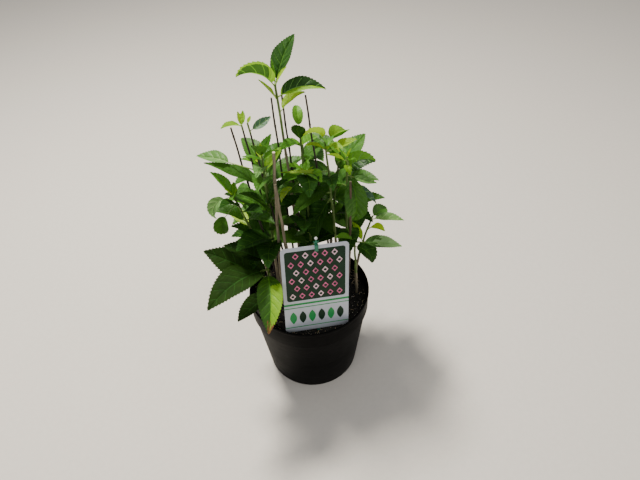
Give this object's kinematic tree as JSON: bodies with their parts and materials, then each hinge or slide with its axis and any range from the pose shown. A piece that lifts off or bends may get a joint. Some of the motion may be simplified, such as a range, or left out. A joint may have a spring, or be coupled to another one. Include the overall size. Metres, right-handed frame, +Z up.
{
  "type": "potted hydrangea shrub",
  "caption": "Young hydrangea shrub with upright leafy shoots, bare twigs and pruned stems, standing in a round nursery pot with a plant label.",
  "frame": {"origin": "middle of the pot's flat underside", "axes": "+Z up along the pot's axis; -Y towards the side that the label faces; +X to the right when looking at the label"},
  "size_m": [0.2931, 0.2677, 0.5304],
  "materials": {
    "pot_plastic": "black moulded nursery-pot plastic, satin, dusty",
    "potting_mix": "damp dark peat-based potting mix with small pale fibres",
    "label_card": "printed plastic card, silvery grey and green",
    "label_holder": "green moulded plastic",
    "label_holder_head": "pale moulded plastic",
    "bark_old": "grey-brown woody stem with fine lengthwise cracks",
    "bark_young": "thin dark brown twig",
    "foliage": "soft serrated leaves, dark to yellow-green, slightly glossy"
  },
  "bodies": {
    "root": {"pot": "pot_plastic", "potting_soil": "potting_mix", "label_card": "label_card", "label_holder": "label_holder", "label_holder_head": "label_holder_head", "crest_left_twig": "bark_young", "crest_right_twig": "bark_young", "right_twig": "bark_young", "left_outer_twig": "bark_young", "pruned_stem_front": "bark_old", "pruned_stem_short": "bark_old", "pruned_stem_right": "bark_old", "crest_stem": "bark_old", "crest_foliage": "foliage", "left_inner_twig_stem": "bark_young", "left_inner_twig_foliage": "foliage", "left_front_twig_stem": "bark_young", "left_front_twig_foliage": "foliage", "west_low_stem": "bark_old", "west_low_foliage": "foliage", "west_high_stem": "bark_old", "west_high_foliage": "foliage", "west_middle_stem": "bark_old", "west_middle_foliage": "foliage", "east_low_stem": "bark_old", "east_low_foliage": "foliage", "east_side_stem": "bark_old", "east_side_foliage": "foliage", "east_high_stem": "bark_old", "east_high_foliage": "foliage", "east_middle_stem": "bark_old", "east_middle_foliage": "foliage", "middle_stem": "bark_old", "middle_foliage": "foliage", "back_middle_stem": "bark_old", "back_middle_foliage": "foliage", "back_west_stem": "bark_old", "back_west_foliage": "foliage", "back_far_stem": "bark_old", "back_far_foliage": "foliage", "back_east_stem": "bark_old", "back_east_foliage": "foliage", "far_west_stem": "bark_old", "far_west_foliage": "foliage", "far_east_stem": "bark_old", "far_east_foliage": "foliage"}
  },
  "joints": []
}
